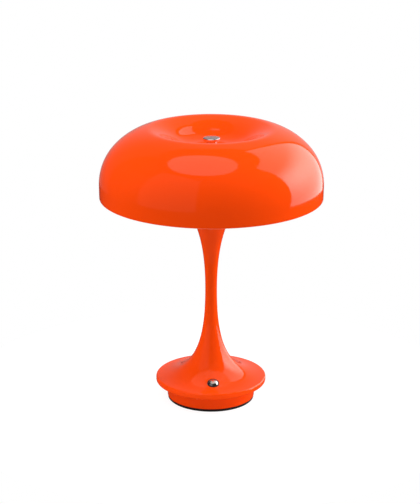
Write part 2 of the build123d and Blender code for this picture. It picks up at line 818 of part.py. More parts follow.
finial_top = washer_top + finial_height
with BuildPart() as finial:
    with BuildSketch(Plane.XZ):
        Polygon(
            (0, stud_top + 1), (stud_radius + running, stud_top + 1),
            (stud_radius + running, washer_top), (finial_neck, washer_top),
            (finial_neck, finial_top - finial_head), (finial_radius, finial_top - finial_head),
            (finial_radius, finial_top), (0, finial_top), align=None)
    revolve(axis=Axis.Z)
    chamfer(finial.edges().group_by(Axis.Z)[-1], finial_bevel)

# ---------------------------------------------------------------- leads
lead_turn = cell_level + cell_radius + stem_lead_radius + 3.5
board_end = 14.0
with BuildLine() as stem_route:
    FilletPolyline(
        (0, board_end, led_board_top), (0, board_end, lead_arch), (0, 0, lead_arch),
        (0, 0, lead_turn), (0, header_line, lead_turn - 2), (0, header_line, header_top),
        radius=(4, 5, 9, 6))
stem_lead = tube(stem_route.line, stem_lead_radius)

side_run = tray_half_length + 2
side_level = cell_level + cell_radius / 3
contact_face = cell_length / 2 + strip_thickness
with BuildLine() as rear_cell_route:
    FilletPolyline(
        (-contact_face, cell_offset, side_level), (-side_run, cell_offset, side_level),
        (-side_run, tray_half_width, side_level), (-8, header_line, side_level),
        (-8, header_line, header_top), radius=3)
with BuildLine() as front_cell_route:
    FilletPolyline(
        (-contact_face, -cell_offset, side_level), (-side_run - 2.2, -cell_offset, side_level),
        (-side_run - 2.2, tray_half_width - 1, side_level + 1.8), (-10, header_line, side_level + 2),
        (-10, header_line, header_top), radius=3)
with BuildPart() as battery_lead:
    add(tube(rear_cell_route.line, lead_radius).part)
    add(tube(front_cell_route.line, lead_radius).part)

pad_point = button_plane.from_local_coords(Vector(6, 3, -switch_board_level))
above_pad = button_plane.from_local_coords(Vector(6, 3, 5 - switch_board_level))
with BuildLine() as switch_route:
    FilletPolyline(
        pad_point, above_pad, (16, -tray_half_width - 3.5, side_level + 1),
        (34, -tray_half_width - 1, side_level), (side_run + 1, -cell_offset, side_level),
        (side_run + 1, cell_offset, side_level), (34, tray_half_width + 1, side_level),
        (9, header_line, side_level), (9, header_line, header_top), radius=2.5)
switch_lead = tube(switch_route.line, lead_radius)

# ---------------------------------------------------------------- export
pieces = {
    "foot_pad": foot_pad, "base_pan": base_pan, "base_screws": base_screws, "ballast": ballast,
    "battery_tray": battery_tray, "tray_screws": tray_screws, "battery_cells": battery_cells,
    "battery_contacts": battery_contacts, "charge_board": charge_board,
    "board_parts": board_parts, "board_screws": board_screws, "charge_port": charge_port,
    "port_tongue": port_tongue, "stand": stand, "button": button, "button_bezel": button_bezel,
    "bezel_nut": bezel_nut, "button_clip": button_clip, "button_spring": button_spring,
    "switch_board": switch_board, "tact_switch": tact_switch, "switch_screws": switch_screws,
    "shade_post": shade_post, "post_nut": post_nut, "heat_sink": heat_sink,
    "led_board": led_board, "leds": leds, "led_screws": led_screws, "diffuser": diffuser,
    "diffuser_nut": diffuser_nut, "shade_carrier": shade_carrier, "shade_gasket": shade_gasket,
    "shade": shade, "finial_washer": finial_washer, "finial": finial, "stem_lead": stem_lead,
    "battery_lead": battery_lead, "switch_lead": switch_lead,
}
os.makedirs("parts", exist_ok=True)
for name, piece in pieces.items():
    piece.part.label = name
    export_step(piece.part, f"parts/{name}.step")
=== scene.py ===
"""Looks of a rechargeable mushroom table lamp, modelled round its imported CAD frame.

Lengths are metres unless a name ends in _mm; +Z is up and the push button faces -Y.
"""

from math import atan2, cos, pi, radians, sin, sqrt, tan

import bpy
from bpy.props import FloatProperty, FloatVectorProperty, PointerProperty
from mathutils import Euler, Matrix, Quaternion, Vector
from mathutils.geometry import interpolate_bezier


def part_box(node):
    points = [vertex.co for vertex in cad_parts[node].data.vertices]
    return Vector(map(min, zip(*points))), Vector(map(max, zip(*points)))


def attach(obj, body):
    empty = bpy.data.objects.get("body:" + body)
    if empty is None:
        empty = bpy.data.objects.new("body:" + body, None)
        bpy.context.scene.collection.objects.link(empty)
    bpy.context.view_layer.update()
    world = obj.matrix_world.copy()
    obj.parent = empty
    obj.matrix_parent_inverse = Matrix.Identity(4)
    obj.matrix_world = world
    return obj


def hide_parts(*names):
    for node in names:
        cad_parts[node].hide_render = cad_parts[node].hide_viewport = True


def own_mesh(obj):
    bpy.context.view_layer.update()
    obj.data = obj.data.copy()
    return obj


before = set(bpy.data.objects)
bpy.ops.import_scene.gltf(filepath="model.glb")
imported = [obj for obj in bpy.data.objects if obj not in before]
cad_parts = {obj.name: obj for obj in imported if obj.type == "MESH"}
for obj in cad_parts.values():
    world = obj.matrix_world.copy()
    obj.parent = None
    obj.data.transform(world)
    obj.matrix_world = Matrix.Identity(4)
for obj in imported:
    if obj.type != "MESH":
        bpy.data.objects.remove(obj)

bl_info = {
    "name": "Mushroom Table Lamp",
    "version": (1, 0, 0),
    "blender": (4, 5, 0),
    "location": "View3D > Sidebar > Lamp",
    "description": "Builds a lacquered mushroom lamp with its stand, button, finial and studio",
    "category": "Object",
}

MM = 0.001
TURN = 2 * pi
SHADE_LOW, SHADE_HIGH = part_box("shade")
STAND_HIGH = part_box("stand")[1]
PAN_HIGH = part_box("base_pan")[1]
PAD_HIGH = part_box("foot_pad")[1]
FINIAL_LOW, FINIAL_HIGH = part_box("finial")
WASHER_LOW, WASHER_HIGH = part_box("finial_washer")
DIFFUSER_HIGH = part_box("diffuser")[1]


# ---------------------------------------------------------------- settings
def length(name, description, default):
    return FloatProperty(name=name, description=description, default=default, unit="LENGTH",
                         precision=5)


def slope(name, description, default):
    return FloatProperty(name=name, description=description, default=default, unit="ROTATION")


def colour(name, description, default):
    return FloatVectorProperty(name=name, description=description, default=default, size=3,
                               subtype="COLOR", min=0, max=1)


def strength(name, description, default):
    return FloatProperty(name=name, description=description, default=default, min=0)


class ShadeSizes(bpy.types.PropertyGroup):
    """Sizes of the spun shade and what sits in its dimple."""
    radius: length("Radius", "Widest radius of the shade", SHADE_HIGH.x)
    rim_height: length("Rim height", "Table to the lower rim", SHADE_LOW.z)
    rim_inset: length("Rim inset", "How far the rim stands inside the widest circle", 0.2 * MM)
    widest_height: length("Widest height", "Table to the widest circle", 255 * MM)
    crown_height: length("Crown height", "Table to the top of the crown", SHADE_HIGH.z)
    crown_ring: length("Crown ring", "Radius of the circle along the crown's top", 69 * MM)
    crown_bend: length("Crown bend", "Bend radius of the crown", 16.4 * MM)
    crown_slope: slope("Crown slope", "Turn of the crown's bend each way", radians(14.5))
    dimple_floor: length("Dimple floor", "Radius of the dimple's flat floor", 16 * MM)
    dimple_top: length("Dimple height", "Table to the dimple's floor", WASHER_LOW.z)
    hole: length("Hole", "Radius of the hole for the stud", 3.4 * MM)
    wall: length("Wall", "Thickness of the spun sheet", 1.2 * MM)
    hem: length("Hem", "Radius of the rolled bead inside the rim", 1.1 * MM)
    finial_neck: length("Finial neck", "Radius of the finial under its head", 6.3 * MM)
    finial_head: length("Finial head", "Thickness of the finial's head", 2.9 * MM)


class StandSizes(bpy.types.PropertyGroup):
    """Sizes of the trumpet stand, the plinth and the button."""
    flange_radius: length("Flange radius", "Radius of the flange", STAND_HIGH.x)
    flange_low: length("Flange underside", "Table to the flange's underside", PAN_HIGH.z - 2 * MM)
    flange_thickness: length("Flange thickness", "Thickness at the flange's edge", 6.8 * MM)
    flange_round: length("Flange round", "Round of the flange's edge", 2.2 * MM)
    flange_pull: length("Flange pull", "Reach of the flange's slope", 39 * MM)
    flange_slope: slope("Flange slope", "Fall of the flange's top", radians(4))
    stem_pull: length("Stem pull", "Reach of the stem towards the flange", 75 * MM)
    waist_radius: length("Waist radius", "Slimmest radius of the stem", 6.65 * MM)
    waist_height: length("Waist height", "Table to the waist", 130 * MM)
    throat_pull: length("Throat pull", "Reach of the stem towards the cup", 53 * MM)
    cup_radius: length("Cup radius", "Radius of the cup's rim", 34 * MM)
    cup_height: length("Cup height", "Table to the cup's rim", STAND_HIGH.z)
    cup_pull: length("Cup pull", "Reach of the cup's slope", 30 * MM)
    cup_slope: slope("Cup slope", "Slope of the cup at its rim", radians(53))
    wall: length("Casting wall", "Wall of the stem and flange", 3 * MM)
    cup_wall: length("Cup wall", "Wall of the cup", 2.5 * MM)
    pad_radius: length("Pad radius", "Radius of the foot pad", PAD_HIGH.x)
    button_ring: length("Button ring", "Radius at which the button stands", 41.5 * MM)
    button_radius: length("Button radius", "Radius of the button's dome", 5.3 * MM)
    button_dome: length("Button dome", "Rise of the dome", 1.9 * MM)
    button_stand: length("Button stand", "Dome's edge above the flange", 0.9 * MM)
    button_travel: length("Button travel", "Stroke of the button", 1.2 * MM)


class LampColours(bpy.types.PropertyGroup):
    """Colours of the lamp's finishes."""
    lacquer: colour("Lacquer", "Outside of shade, stand and plinth", (0.95, 0.0625, 0.0015))
    enamel: colour("Enamel", "Inside of the shade", (0.83, 0.80, 0.74))
    rubber: colour("Rubber", "Foot pad and gasket", (0.012, 0.011, 0.010))
    steel: colour("Turned steel", "Finial and its post", (0.88, 0.84, 0.84))
    chrome: colour("Chrome", "Push button", (0.86, 0.85, 0.85))
    opal: colour("Opal", "Diffuser", (0.84, 0.83, 0.79))
    board: colour("Circuit board", "Charge and switch boards", (0.012, 0.085, 0.045))
    wrap: colour("Cell wrap", "Sleeves of the battery cells", (0.03, 0.11, 0.20))


class StudioSettings(bpy.types.PropertyGroup):
    """Camera and light of the studio."""
    lens: FloatProperty(name="Lens", description="Focal length in millimetres", default=120.0)
    distance: length("Distance", "Camera to the lamp's axis along the table", 1.8033)
    height: length("Height", "Camera above the table", 0.7528)
    pitch: slope("Pitch", "Fall of the line of sight", radians(17.79))
    heading: slope("Heading", "Turn of the camera round the lamp", radians(3.6))
    roll: slope("Roll", "Turn of the camera about its line of sight", radians(0.16))
    shift: FloatProperty(name="Shift", description="Sideways shift of the frame", default=-0.0024)
    side_light: strength("Side light", "Radiance of the softbox on the right", 4.2)
    fill_light: strength("Fill light", "Radiance of the panel at the front left", 0.15)
    top_light: strength("Top light", "Radiance of the panel overhead", 0.95)
    sky_light: strength("Sky light", "Radiance of the wide soft cloth over the set", 0.9)
    right_wash: strength("Right wash", "Radiance of the soft light from the right", 4.0)
    left_wash: strength("Left wash", "Radiance of the soft light from the left", 2.0)
    wall_light: strength("Wall light", "Radiance of the backdrop", 0.4)
    room_light: strength("Room light", "Radiance of the room that lights the lamp", 0.6)
    room_tone: strength("Room tone", "Radiance of the room that gloss reflects", 0.03)


# ---------------------------------------------------------------- outlines, as (radius, height)
def arc(centre, radius, start, end, steps):
    """Points on an arc from one angle to another."""
    return [(centre[0] + radius * cos(start + (end - start) * n / steps),
             centre[1] + radius * sin(start + (end - start) * n / steps))
            for n in range(steps + 1)]


def arc_to(start, way, end, steps):
    """Points on the arc that leaves start in a direction and reaches end."""
    start, way, end = Vector(start), Vector(way).normalized(), Vector(end)
    across = end - start
    side = Vector((-way.y, way.x))
    lean = side.dot(across)
    if abs(lean) < 1e-9:
        return [tuple(start.lerp(end, n / steps)) for n in range(steps + 1)]
    bend = across.length_squared / (2 * lean)
    centre = start + side * bend
    first = atan2(*reversed(start - centre))
    sweep = 2 * atan2(lean, way.dot(across))
    return arc(centre, abs(bend), first, first + sweep, steps)


def biarc(start, start_way, end, end_way, steps):
    """Points on two arcs that leave start and reach end in the given directions."""
    start, end = Vector(start), Vector(end)
    start_way, end_way = Vector(start_way).normalized(), Vector(end_way).normalized()
    across = end - start
    ways = start_way + end_way
    turn = 2 * (1 - start_way.dot(end_way))
    reach = (sqrt(across.dot(ways) ** 2 + turn * across.dot(across)) - across.dot(ways)) / turn
    middle = (start + start_way * reach + end - end_way * reach) / 2
    first = arc_to(start, start_way, middle, steps)
    back = arc_to(end, -end_way, middle, steps)
    return first + back[::-1][1:]


def bezier(points, steps):
    """Points on a Bezier curve with four control points."""
    first, pull, hold, last = (Vector((*p, 0)) for p in points)
    return [(p.x, p.y) for p in interpolate_bezier(first, pull, hold, last, steps + 1)]


def inside(points, wall):
    """Points moved by a wall to the right of their way along the outline."""
    moved = []
    for n, here in enumerate(points):
        before, after = points[max(n - 1, 0)], points[min(n + 1, len(points) - 1)]
        way = Vector((after[0] - before[0], after[1] - before[1])).normalized()
        moved.append((here[0] + way.y * wall, here[1] - way.x * wall))
    return moved


def rounded(points, radius, steps=4):
    """A closed outline with each of its corners off the axis rounded."""
    done = []
    for n, here in enumerate(points):
        before, after = points[n - 1], points[(n + 1) % len(points)]
        if here[0] < 1e-6:
            done.append(here)
            continue
        here = Vector(here)
        to_last, to_next = Vector(before) - here, Vector(after) - here
        size = min(radius, 0.45 * to_last.length, 0.45 * to_next.length)
        half = to_last.angle(to_next) / 2
        if half > 1.5:
            done.append(tuple(here))
            continue
        leg = min(size / tan(half), 0.45 * to_last.length, 0.45 * to_next.length)
        start, end = here + to_last.normalized() * leg, here + to_next.normalized() * leg
        done += arc_to(start, -to_last, end, steps)
    return done


# ---------------------------------------------------------------- modelling
def begin(name):
    """Deselect everything, add a small plane and shrink it to one vertex, in edit mode."""
    bpy.ops.object.select_all(action="DESELECT")
    bpy.ops.mesh.primitive_plane_add(size=MM, location=(0, 0, 0))
    piece = bpy.context.object
    piece.name = piece.data.name = name
    bpy.ops.object.mode_set(mode="EDIT")
    bpy.ops.mesh.select_all(action="SELECT")
    bpy.ops.mesh.merge(type="CENTER")
    return piece


def spun(piece, steps, angle):
    """Spin the drawn outline round +Z, close its seam and turn its faces outwards."""
    bpy.ops.mesh.select_all(action="SELECT")
    bpy.ops.mesh.spin(steps=steps, angle=TURN, center=(0, 0, 0), axis=(0, 0, 1))
    bpy.ops.mesh.select_all(action="SELECT")
    bpy.ops.mesh.remove_doubles(threshold=2e-6)
    bpy.ops.mesh.normals_make_consistent(inside=False)
    bpy.ops.object.mode_set(mode="OBJECT")
    bpy.ops.object.shade_smooth_by_angle(angle=radians(angle))
    return piece


def lathe(name, outline, steps=128, angle=30):
    """Turn an outline into a piece, as on a lathe."""
    piece = begin(name)
    points = [Vector((radius, 0, height)) for radius, height in outline]
    points.append(points[0])
    bpy.ops.transform.translate(value=points[0])
    for here, there in zip(points, points[1:]):
        bpy.ops.mesh.extrude_vertices_move(TRANSFORM_OT_translate={"value": there - here})
    return spun(piece, steps, angle)


def cut(piece, cutter):
    """Subtract a cutter from a piece and remove the cutter."""
    bpy.ops.object.select_all(action="DESELECT")
    piece.select_set(True)
    bpy.context.view_layer.objects.active = piece
    boolean = piece.modifiers.new("Seat", "BOOLEAN")
    boolean.operation, boolean.solver, boolean.object = "DIFFERENCE", "EXACT", cutter
    bpy.ops.object.modifier_apply(modifier=boolean.name)
    bpy.data.objects.remove(cutter)
    bpy.ops.object.shade_smooth_by_angle(angle=radians(30))


def seat_on_flange(piece):
    """Tip a piece from +Z to the button's axis and bring it to its place on the flange."""
    sizes = bpy.context.scene.stand_sizes
    height, fall = flange_at(sizes, sizes.button_ring)
    piece.rotation_euler = (fall, 0, 0)
    piece.location = (0, -sizes.button_ring, height)
    bpy.ops.object.select_all(action="DESELECT")
    piece.select_set(True)
    bpy.context.view_layer.objects.active = piece
    bpy.ops.object.transform_apply(location=True, rotation=True, scale=True)
    return piece


def dress(piece, body, slot, *finishes, stands_for=()):
    """Give a finished piece its materials, its body and the CAD nodes that it stands for."""
    for finish in finishes:
        piece.data.materials.append(finish)
    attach(piece, body)
    if stands_for:
        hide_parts(*stands_for)


# ---------------------------------------------------------------- shader maths
class Val:
    """A socket that adds Math nodes when it is used in an expression."""

    def __init__(self, finish, socket):
        self.finish, self.socket = finish, socket

    def math(self, operation, *values):
        return self.finish.node("ShaderNodeMath", {"operation": operation}, *values)

    def __add__(self, other):
        return self.math("ADD", self, other)

    def __sub__(self, other):
        return self.math("SUBTRACT", self, other)

    def __rsub__(self, other):
        return self.math("SUBTRACT", other, self)

    def __mul__(self, other):
        return self.math("MULTIPLY", self, other)

    def __pow__(self, other):
        return self.math("POWER", self, other)

    def above(self, edge):
        return self.math("GREATER_THAN", self, edge)

    def wave(self):
        return self.math("SINE", self)

    def within(self, low, high):
        return self.finish.node("ShaderNodeMapRange", {"interpolation_type": "SMOOTHSTEP"},
                                self, low, high)

    __radd__, __rmul__ = __add__, __mul__


class Finish:
    """A material under construction: its nodes, and the values that feed its shader."""

    def __init__(self, name):
        self.material = bpy.data.materials.new(name)
        self.material.use_nodes = True
        self.tree = self.material.node_tree
        self.tree.nodes.clear()
        self.place = self.node("ShaderNodeTexCoord", {}, out="Object")

    def node(self, kind, settings, *values, out=0, **named):
        """Add a node with its settings, feed its sockets in order or by name, return one output."""
        made = self.tree.nodes.new(kind)
        for key, value in settings.items():
            if key == "stops":
                ramp = made.color_ramp.elements
                while len(ramp) < len(value):
                    ramp.new(1)
                for stop, (position, shade) in zip(ramp, value):
                    stop.position, stop.color = position, shade
            else:
                setattr(made, key, value)
        free = [socket for socket in made.inputs if socket.enabled]
        fed = [*zip(free, values), *((made.inputs[key], value) for key, value in named.items())]
        for socket, value in fed:
            if isinstance(value, Val):
                self.tree.links.new(value.socket, socket)
            else:
                socket.default_value = value
        return Val(self, made.outputs[out]) if made.outputs else None

    def noise(self, scale, detail=3, roughness=0.5, where=None):
        """Cloudy noise from 0 to 1 over the piece, scale in waves per metre."""
        return self.node("ShaderNodeTexNoise", {}, Vector=where or self.place, Scale=scale,
                         Detail=detail, Roughness=roughness, out="Fac")

    def cells(self, scale):
        """Distance from the middle of the nearest cell of a cell noise."""
        return self.node("ShaderNodeTexVoronoi", {}, Vector=self.place, Scale=scale, out="Distance")

    def stretched(self, x, y, z):
        """Object coordinates scaled along each axis, for streaks."""
        return self.node("ShaderNodeMapping", {}, Vector=self.place, Scale=(x, y, z), out="Vector")

    def parts(self):
        """The three object coordinates as numbers."""
        split = self.node("ShaderNodeSeparateXYZ", {}, self.place)
        outputs = split.socket.node.outputs
        return [Val(self, outputs[axis]) for axis in "XYZ"]

    def mix(self, share, first, second):
        """Two colours mixed."""
        mixed = self.node("ShaderNodeMix", {"data_type": "RGBA"}, Factor=share, out=2)
        inputs = mixed.socket.node.inputs
        for socket, value in ((inputs[6], first), (inputs[7], second)):
            if isinstance(value, Val):
                self.tree.links.new(value.socket, socket)
            else:
                socket.default_value = (*value, 1)
        return mixed

    def bump(self, height, distance, normal=None):
        """A bump of a height in metres, on top of another normal if one is given."""
        more = {"Normal": normal} if normal else {}
        return self.node("ShaderNodeBump", {}, Height=height, Distance=distance, Strength=1.0,
                         out="Normal", **more)

    def done(self, **sockets):
        """Add the shader and the output, and return the material."""
        for key, value in sockets.items():
            if isinstance(value, tuple) and len(value) == 3 and key != "Subsurface_Radius":
                sockets[key] = (*value, 1)
        named = {key.replace("_", " "): value for key, value in sockets.items()}
        shader = self.node("ShaderNodeBsdfPrincipled", {}, **named)
        self.node("ShaderNodeOutputMaterial", {}, shader)
        return self.material


def deeper(tint, share):
    """A colour turned down by a share."""
    return tuple(channel * share for channel in tint)


# ---------------------------------------------------------------- finishes
def lacquer(name, tint, peel=2.4e-6):
    """Gloss lacquer: faint orange peel, uneven gloss where it was wiped, and a few dust nibs."""
    finish = Finish(name)
    flow = finish.noise(11, detail=2).within(0.3, 0.7)
    wiped = finish.noise(34, detail=5, roughness=0.62).within(0.5, 0.85)
    nibs = 1 - finish.cells(260).within(0.02, 0.05)
    ripple = finish.noise(620, detail=2, roughness=0.4)
    waves = finish.bump(ripple, peel)
    normal = finish.bump(nibs * finish.noise(90).above(0.6), 6e-6, normal=waves)
    return finish.done(
        Base_Color=finish.mix(flow, deeper(tint, 0.965), tint),
        Roughness=0.06 + wiped * 0.045 + nibs * 0.05, Normal=normal)


def enamel(name, tint):
    """White sprayed enamel with a fine pebble and a little warmth in it."""
    finish = Finish(name)
    cloud = finish.noise(16, detail=3).within(0.3, 0.7)
    pebble = finish.noise(900, detail=3)
    return finish.done(
        Base_Color=finish.mix(cloud, deeper(tint, 0.95), tint),
        Roughness=0.34 + finish.noise(60, detail=4) * 0.12, Normal=finish.bump(pebble, 8e-6))


def turned_steel(name, tint, roughness=0.2):
    """Steel faced on a lathe: fine rings round the axis, wiped cloudy here and there."""
    finish = Finish(name)
    x, y, _ = finish.parts()
    ring = (x * x + y * y) ** 0.5
    drift = finish.noise(240, detail=2)
    rings = (ring * 14000 + drift * 5).wave() * 0.5 + 0.5
    cloud = finish.noise(130, detail=4).within(0.35, 0.8)
    return finish.done(
        Base_Color=finish.mix(rings * 0.5 + cloud * 0.5, deeper(tint, 0.9), tint), Metallic=1.0,
        Roughness=roughness + rings * 0.05 + cloud * 0.07, Normal=finish.bump(rings, 1.2e-6))


def polished(name, tint, roughness=0.07):
    """Plated metal with hairline scratches and a faint haze."""
    finish = Finish(name)
    hair = finish.noise(1.0, detail=4, roughness=0.7, where=finish.stretched(260, 3200, 900))
    haze = finish.noise(300, detail=3).within(0.4, 0.8)
    return finish.done(
        Base_Color=finish.mix(haze, tint, deeper(tint, 0.93)), Metallic=1.0,
        Roughness=roughness + haze * 0.05 + hair.above(0.72) * 0.08,
        Normal=finish.bump(hair, 6e-7))


def drawn_metal(name, tint, roughness=0.32, along=(60, 60, 1400)):
    """Rolled or extruded metal: streaks along one way and dull patches."""
    finish = Finish(name)
    streak = finish.noise(1.0, detail=4, roughness=0.6, where=finish.stretched(*along))
    dull = finish.noise(70, detail=4).within(0.35, 0.75)
    return finish.done(
        Base_Color=finish.mix(streak * 0.6 + dull * 0.4, deeper(tint, 0.78), tint),
        Metallic=1.0, Roughness=roughness + dull * 0.12 + streak * 0.06,
        Normal=finish.bump(streak, 3e-6))


def moulded(name, tint, roughness=0.45, grain=1500, relief=6e-6):
    """Moulded plastic or rubber with a spark-eroded grain."""
    finish = Finish(name)
    grains = finish.cells(grain)
    cloud = finish.noise(45, detail=4).within(0.3, 0.75)
    return finish.done(
        Base_Color=finish.mix(cloud, deeper(tint, 0.85), tint),
        Roughness=roughness + cloud * 0.1 + grains * 0.05, Normal=finish.bump(grains, relief))


def circuit_board(name, tint):
    """Solder mask over copper tracks, with tinned rings where parts are soldered."""
    finish = Finish(name)
    tracks = finish.node("ShaderNodeTexBrick", {"offset": 0.5}, Vector=finish.place,
                         Scale=330.0, out="Fac", **{"Mortar Size": 0.06})
    pads = 1 - finish.cells(330).within(0.16, 0.2)
    cloud = finish.noise(80, detail=4)
    mask = finish.mix(tracks, deeper(tint, 0.8), deeper(tint, 1.6))
    return finish.done(
        Base_Color=finish.mix(pads * 0.8, mask, (0.60, 0.58, 0.54)), Metallic=pads * 0.8,
        Roughness=0.3 + cloud * 0.1, Normal=finish.bump(tracks * 0.6 + pads, 2e-5))


def wrapped_cell(name, tint, reach):
    """Shrink sleeve on a cell, with a paler band round it and bare metal at its ends."""
    finish = Finish(name)
    x, _, _ = finish.parts()
    along = finish.node("ShaderNodeMath", {"operation": "ABSOLUTE"}, x)
    bare = along.above(reach - 1.2 * MM)
    band = along.above(reach - 16 * MM) * (1 - along.above(reach - 13 * MM))
    crease = finish.noise(1.0, detail=4, where=finish.stretched(70, 700, 700))
    sleeve = finish.mix(band, tint, (0.50, 0.52, 0.54))
    return finish.done(
        Base_Color=finish.mix(bare, sleeve, (0.62, 0.60, 0.57)), Metallic=bare,
        Roughness=0.28 + crease * 0.18, Normal=finish.bump(crease, 2e-5))


def opal(name, tint):
    """Opal plastic: a soft satin and a trace of flow lines."""
    finish = Finish(name)
    flow = finish.noise(1.0, detail=3, where=finish.stretched(26, 26, 80))
    satin = finish.noise(1200, detail=2)
    return finish.done(
        Base_Color=finish.mix(flow, deeper(tint, 0.94), tint), Roughness=0.3 + satin * 0.14,
        Normal=finish.bump(satin, 3e-6))


# ---------------------------------------------------------------- pieces
def shade_outline(sizes):
    """The shade's outer profile, from the stud's hole over the crown to the rim."""
    side = sizes.crown_slope
    level = sizes.crown_height - sizes.crown_bend * (1 - cos(side))
    outer = (sizes.crown_ring + sizes.crown_bend * sin(side), level)
    inner = (sizes.crown_ring - sizes.crown_bend * sin(side), level)
    crown = (sizes.crown_ring, sizes.crown_height - sizes.crown_bend)
    widest = (sizes.radius, sizes.widest_height)
    rim = (sizes.radius - sizes.rim_inset, sizes.rim_height)
    dimple = biarc((sizes.dimple_floor, sizes.dimple_top), (1, 0), inner, (cos(side), sin(side)), 16)
    bend = arc(crown, sizes.crown_bend, pi / 2 + side, pi / 2 - side, 10)
    brow = biarc(outer, (cos(side), -sin(side)), widest, (0, -1), 24)
    return ([(sizes.hole, sizes.dimple_top), (sizes.dimple_floor * 0.6, sizes.dimple_top)]
            + dimple + bend[1:] + brow[1:] + arc_to(widest, (0, -1), rim, 6)[1:])


def lower_curve(sizes):
    """Control points of the stand's profile from its waist to the flange's edge."""
    top = sizes.flange_low + sizes.flange_thickness
    return [(sizes.waist_radius, sizes.waist_height),
            (sizes.waist_radius, sizes.waist_height - sizes.stem_pull),
            (sizes.flange_radius - sizes.flange_pull,
             top + sizes.flange_pull * tan(sizes.flange_slope)),
            (sizes.flange_radius, top)]


def upper_curve(sizes):
    """Control points of the stand's profile from its waist to the cup's rim."""
    return [(sizes.waist_radius, sizes.waist_height),
            (sizes.waist_radius, sizes.waist_height + sizes.throat_pull),
            (sizes.cup_radius - sizes.cup_pull * cos(sizes.cup_slope),
             sizes.cup_height - sizes.cup_pull * sin(sizes.cup_slope)),
            (sizes.cup_radius, sizes.cup_height)]


def flange_at(sizes, ring):
    """Height and fall of the flange's top at a radius."""
    line = bezier(lower_curve(sizes), 600)
    for (r1, z1), (r2, z2) in zip(line, line[1:]):
        if r2 >= ring:
            return z1 + (z2 - z1) * (ring - r1) / (r2 - r1), atan2(z1 - z2, r2 - r1)
    raise RuntimeError("the flange doesn't reach the button's ring")


def stand_outline(sizes):
    """The casting's closed profile: cup, stem and flange outside, and its hollows inside."""
    bridge, hub_top, hub, thread = 206 * MM, 226 * MM, 8.5 * MM, 5.02 * MM
    lower, upper = bezier(lower_curve(sizes), 60), bezier(upper_curve(sizes), 48)
    top, low = lower[-1][1], sizes.flange_low
    edge = sizes.flange_radius
    rounds = sizes.flange_round
    shoulder = [p for p in lower if p[0] < edge - 1.15 * rounds]
    nose = arc((edge - rounds, top - rounds * 0.93), rounds, radians(86), 0, 8)
    toe = arc((edge - rounds, low + rounds), rounds, 0, -pi / 2, 8)
    cup_inside = [p for p in inside(upper[::-1], sizes.cup_wall) if p[1] > bridge]
    hollow = PAN_HIGH.x - 4.2 * MM
    stem_inside = [p for p in inside(lower, sizes.wall) if p[0] < hollow]
    bore = sizes.waist_radius - sizes.wall
    lip = [(sizes.cup_radius - 0.9 * MM, sizes.cup_height),
           (sizes.cup_radius - 0.3 * MM, sizes.cup_height - 0.15 * MM)]
    return (lip + [p for p in upper[::-1] if p[1] < sizes.cup_height - 0.6 * MM]
            + shoulder[1:] + nose + toe
            + [(stem_inside[-1][0], low)] + stem_inside[::-1]
            + [(bore, bridge), (thread, bridge), (thread, hub_top), (hub, hub_top), (hub, bridge)]
            + cup_inside[::-1])


class LAMP_OT_shade(bpy.types.Operator):
    """Spin the shade with its rolled hem, lacquered outside and enamelled inside"""
    bl_idname = "lamp.shade"
    bl_label = "Make the Shade"

    def execute(self, context):
        sizes, tints = context.scene.shade_sizes, context.scene.lamp_colours
        outside = shade_outline(sizes)
        within = inside(outside, sizes.wall)
        inner_rim = within[-1]
        bead = (inner_rim[0], sizes.rim_height + sizes.wall + 0.2 * MM)
        edge = arc((outside[-1][0] - sizes.wall / 2, sizes.rim_height + sizes.wall / 2),
                   sizes.wall / 2, 0, -pi / 2, 4)
        hem = arc(bead, sizes.hem, radians(-70), radians(-262), 12)
        skin = [p for p in within[::-1] if p[1] > bead[1] + sizes.hem]
        outline = outside[:-1] + edge + hem + skin
        piece = lathe("shade_shell", outline, steps=160, angle=35)
        dress(piece, "lamp", "orange_shade", lacquer("Shade lacquer", tints.lacquer),
              enamel("Shade enamel", tints.enamel), stands_for=["shade"])
        for face in piece.data.polygons:
            away = Vector((face.center.x, face.center.y, 0)).normalized() + Vector((0, 0, 1))
            if face.normal.dot(away) < -0.1:
                face.material_index = 1
        return {"FINISHED"}


class LAMP_OT_stand(bpy.types.Operator):
    """Spin the one-piece trumpet stand and sink the button's seat in its flange"""
    bl_idname = "lamp.stand"
    bl_label = "Make the Stand"

    def execute(self, context):
        sizes, tints = context.scene.stand_sizes, context.scene.lamp_colours
        piece = lathe("stand_casting", stand_outline(sizes), steps=144, angle=35)
        collar, seat_floor, seat_top = sizes.button_radius + 1.36 * MM, -0.5 * MM, 6 * MM
        seat = lathe("seat_cutter", [(0, seat_floor), (collar, seat_floor), (collar, seat_top),
                                     (0, seat_top)], steps=64)
        cut(piece, seat_on_flange(seat))
        sleeve, bore_end, bore_top = sizes.button_radius + 0.88 * MM, -9 * MM, 2 * MM
        bore = lathe("bore_cutter", [(0, bore_end), (sleeve, bore_end), (sleeve, bore_top),
                                     (0, bore_top)], steps=64)
        cut(piece, seat_on_flange(bore))
        dress(piece, "lamp", "orange_lacquer", lacquer("Stand lacquer", tints.lacquer),
              stands_for=["stand"])
        return {"FINISHED"}


